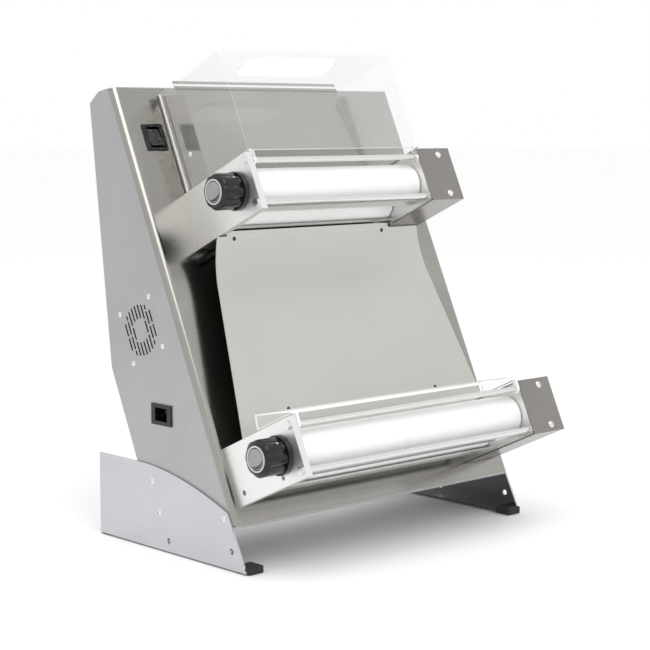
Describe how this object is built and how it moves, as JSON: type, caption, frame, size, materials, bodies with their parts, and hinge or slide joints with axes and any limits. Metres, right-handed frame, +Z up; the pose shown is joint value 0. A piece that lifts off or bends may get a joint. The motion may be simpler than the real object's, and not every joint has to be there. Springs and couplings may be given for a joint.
{
  "type": "dough sheeter",
  "caption": "Bench-top dough sheeter: leaning steel casing on side stands, two roller pairs with thickness knobs, a connecting chute and clear hinged guards.",
  "frame": {"origin": "centre of the bounding box on the bench, under the machine", "axes": "+Z up, -Y out of the front where the rollers are, +X to the right seen from the front"},
  "size_m": [0.5638, 0.4352, 0.6773],
  "materials": {
    "polished_steel": "polished",
    "satin_steel": "satin",
    "stand_steel": "satin",
    "arm_steel": "satin",
    "rubber": "matt",
    "bright_steel": "bright",
    "black_plastic": "matt",
    "pale_plastic": "gloss",
    "grey_plastic": "satin",
    "motor_paint": "satin",
    "bronze": "satin",
    "cheek_aluminium": "satin",
    "gear_steel": "machined",
    "white_roller": "satin",
    "clear_guard": "clear"
  },
  "bodies": {
    "machine": {"front_panel": "polished_steel", "left_panel": "satin_steel", "right_panel": "satin_steel", "back_cover": "satin_steel", "base_plate": "satin_steel", "left_stand": "stand_steel", "right_stand": "stand_steel", "stand_feet": "rubber", "panel_screws": "bright_steel", "fan_frame": "black_plastic", "power_inlet": "black_plastic", "switch_bezel": "black_plastic", "hopper_pan": "polished_steel", "chute": "satin_steel", "chute_posts": "bright_steel", "motor": "motor_paint", "gearbox": "motor_paint", "drive_belt": "rubber", "tie_rods": "bright_steel", "scrapers": "bright_steel", "bushes": "bronze", "arm_screws": "bright_steel", "upper_left_cheek": "cheek_aluminium", "upper_inner_cheek": "cheek_aluminium", "upper_bearing_plate": "bright_steel", "upper_arm_cover": "arm_steel", "lower_left_cheek": "cheek_aluminium", "lower_inner_cheek": "cheek_aluminium", "lower_bearing_plate": "bright_steel", "lower_arm_cover": "arm_steel"},
    "upper_guard": {"upper_guard": "clear_guard"},
    "lower_guard": {"lower_guard": "clear_guard"},
    "switch_rocker": {"switch_rocker": "pale_plastic"},
    "fan_rotor": {"fan_rotor": "black_plastic"},
    "upper_knob": {"upper_knob": "black_plastic", "upper_knob_cap": "grey_plastic"},
    "upper_carriage": {"upper_bearing_slides": "bronze"},
    "upper_front_roller": {"upper_front_roller": "white_roller", "upper_front_shaft": "bright_steel", "upper_front_gear": "gear_steel"},
    "upper_rear_roller": {"upper_rear_roller": "white_roller", "upper_rear_shaft": "bright_steel", "upper_rear_gear": "gear_steel"},
    "upper_idler": {"upper_idler_gear": "gear_steel"},
    "upper_drive": {"upper_drive_shaft": "bright_steel", "upper_drive_gear": "gear_steel", "upper_pulley": "gear_steel"},
    "lower_knob": {"lower_knob": "black_plastic", "lower_knob_cap": "grey_plastic"},
    "lower_carriage": {"lower_bearing_slides": "bronze"},
    "lower_front_roller": {"lower_front_roller": "white_roller", "lower_front_shaft": "bright_steel", "lower_front_gear": "gear_steel"},
    "lower_rear_roller": {"lower_rear_roller": "white_roller", "lower_rear_shaft": "bright_steel", "lower_rear_gear": "gear_steel"},
    "lower_idler": {"lower_idler_gear": "gear_steel"},
    "lower_drive": {"lower_drive_shaft": "bright_steel", "lower_drive_gear": "gear_steel", "lower_pulley": "gear_steel"}
  },
  "joints": [
    {"name": "upper_guard_tilt", "type": "hinge", "parent": "machine", "child": "upper_guard", "pos_m": [0.0113, -0.03216, 0.52946], "axis": [1, 0, 0], "range_deg": [0, 90]},
    {"name": "lower_guard_tilt", "type": "hinge", "parent": "machine", "child": "lower_guard", "pos_m": [0.0113, -0.18197, 0.20375], "axis": [1, 0, 0], "range_deg": [0, 90]},
    {"name": "power_switch_rock", "type": "hinge", "parent": "machine", "child": "switch_rocker", "pos_m": [-0.2057, 0.13675, 0.55688], "axis": [1, 0, 0], "range_deg": [0, 18]},
    {"name": "fan_spin", "type": "hinge", "parent": "machine", "child": "fan_rotor", "pos_m": [-0.2387, 0.10692, 0.29818], "axis": [1, 0, 0], "continuous": true},
    {"name": "upper_knob_turn", "type": "hinge", "parent": "machine", "child": "upper_knob", "pos_m": [-0.2037, -0.01472, 0.48841], "axis": [-1, 0, 0], "range_deg": [0, 270]},
    {"name": "upper_gap_slide", "type": "slide", "parent": "machine", "child": "upper_carriage", "axis": [0, -0.9085, 0.4179], "range_m": [0, 0.004]},
    {"name": "upper_front_spin", "type": "hinge", "parent": "upper_carriage", "child": "upper_front_roller", "pos_m": [-0.0187, -0.01472, 0.48841], "axis": [1, 0, 0], "continuous": true},
    {"name": "upper_rear_spin", "type": "hinge", "parent": "machine", "child": "upper_rear_roller", "pos_m": [-0.0187, 0.03979, 0.46334], "axis": [1, 0, 0], "continuous": true},
    {"name": "upper_idler_spin", "type": "hinge", "parent": "machine", "child": "upper_idler", "pos_m": [0.1683, 0.0943, 0.43827], "axis": [1, 0, 0], "continuous": true},
    {"name": "upper_drive_spin", "type": "hinge", "parent": "machine", "child": "upper_drive", "pos_m": [0.1683, 0.142, 0.41633], "axis": [1, 0, 0], "continuous": true},
    {"name": "lower_knob_turn", "type": "hinge", "parent": "machine", "child": "lower_knob", "pos_m": [-0.2612, -0.16452, 0.16271], "axis": [-1, 0, 0], "range_deg": [0, 270]},
    {"name": "lower_gap_slide", "type": "slide", "parent": "machine", "child": "lower_carriage", "axis": [0, -0.9085, 0.4179], "range_m": [0, 0.004]},
    {"name": "lower_front_spin", "type": "hinge", "parent": "lower_carriage", "child": "lower_front_roller", "pos_m": [-0.0207, -0.16452, 0.16271], "axis": [1, 0, 0], "continuous": true},
    {"name": "lower_rear_spin", "type": "hinge", "parent": "machine", "child": "lower_rear_roller", "pos_m": [-0.0207, -0.11001, 0.13764], "axis": [1, 0, 0], "continuous": true},
    {"name": "lower_idler_spin", "type": "hinge", "parent": "machine", "child": "lower_idler", "pos_m": [0.2218, -0.0555, 0.11257], "axis": [1, 0, 0], "continuous": true},
    {"name": "lower_drive_spin", "type": "hinge", "parent": "machine", "child": "lower_drive", "pos_m": [0.2218, -0.0078, 0.09063], "axis": [1, 0, 0], "continuous": true}
  ],
  "couplings": [
    {"joint": "upper_knob_turn", "follows": "upper_gap_slide", "rad_per_m": 1178.1},
    {"joint": "lower_knob_turn", "follows": "lower_gap_slide", "rad_per_m": 1178.1},
    {"joint": "lower_front_spin", "follows": "lower_rear_spin", "ratio": -1},
    {"joint": "lower_idler_spin", "follows": "lower_rear_spin", "ratio": -1},
    {"joint": "lower_drive_spin", "follows": "lower_rear_spin", "ratio": 1.3333},
    {"joint": "upper_drive_spin", "follows": "lower_rear_spin", "ratio": 1.3333},
    {"joint": "upper_idler_spin", "follows": "lower_rear_spin", "ratio": -1},
    {"joint": "upper_rear_spin", "follows": "lower_rear_spin", "ratio": 1},
    {"joint": "upper_front_spin", "follows": "lower_rear_spin", "ratio": -1}
  ]
}
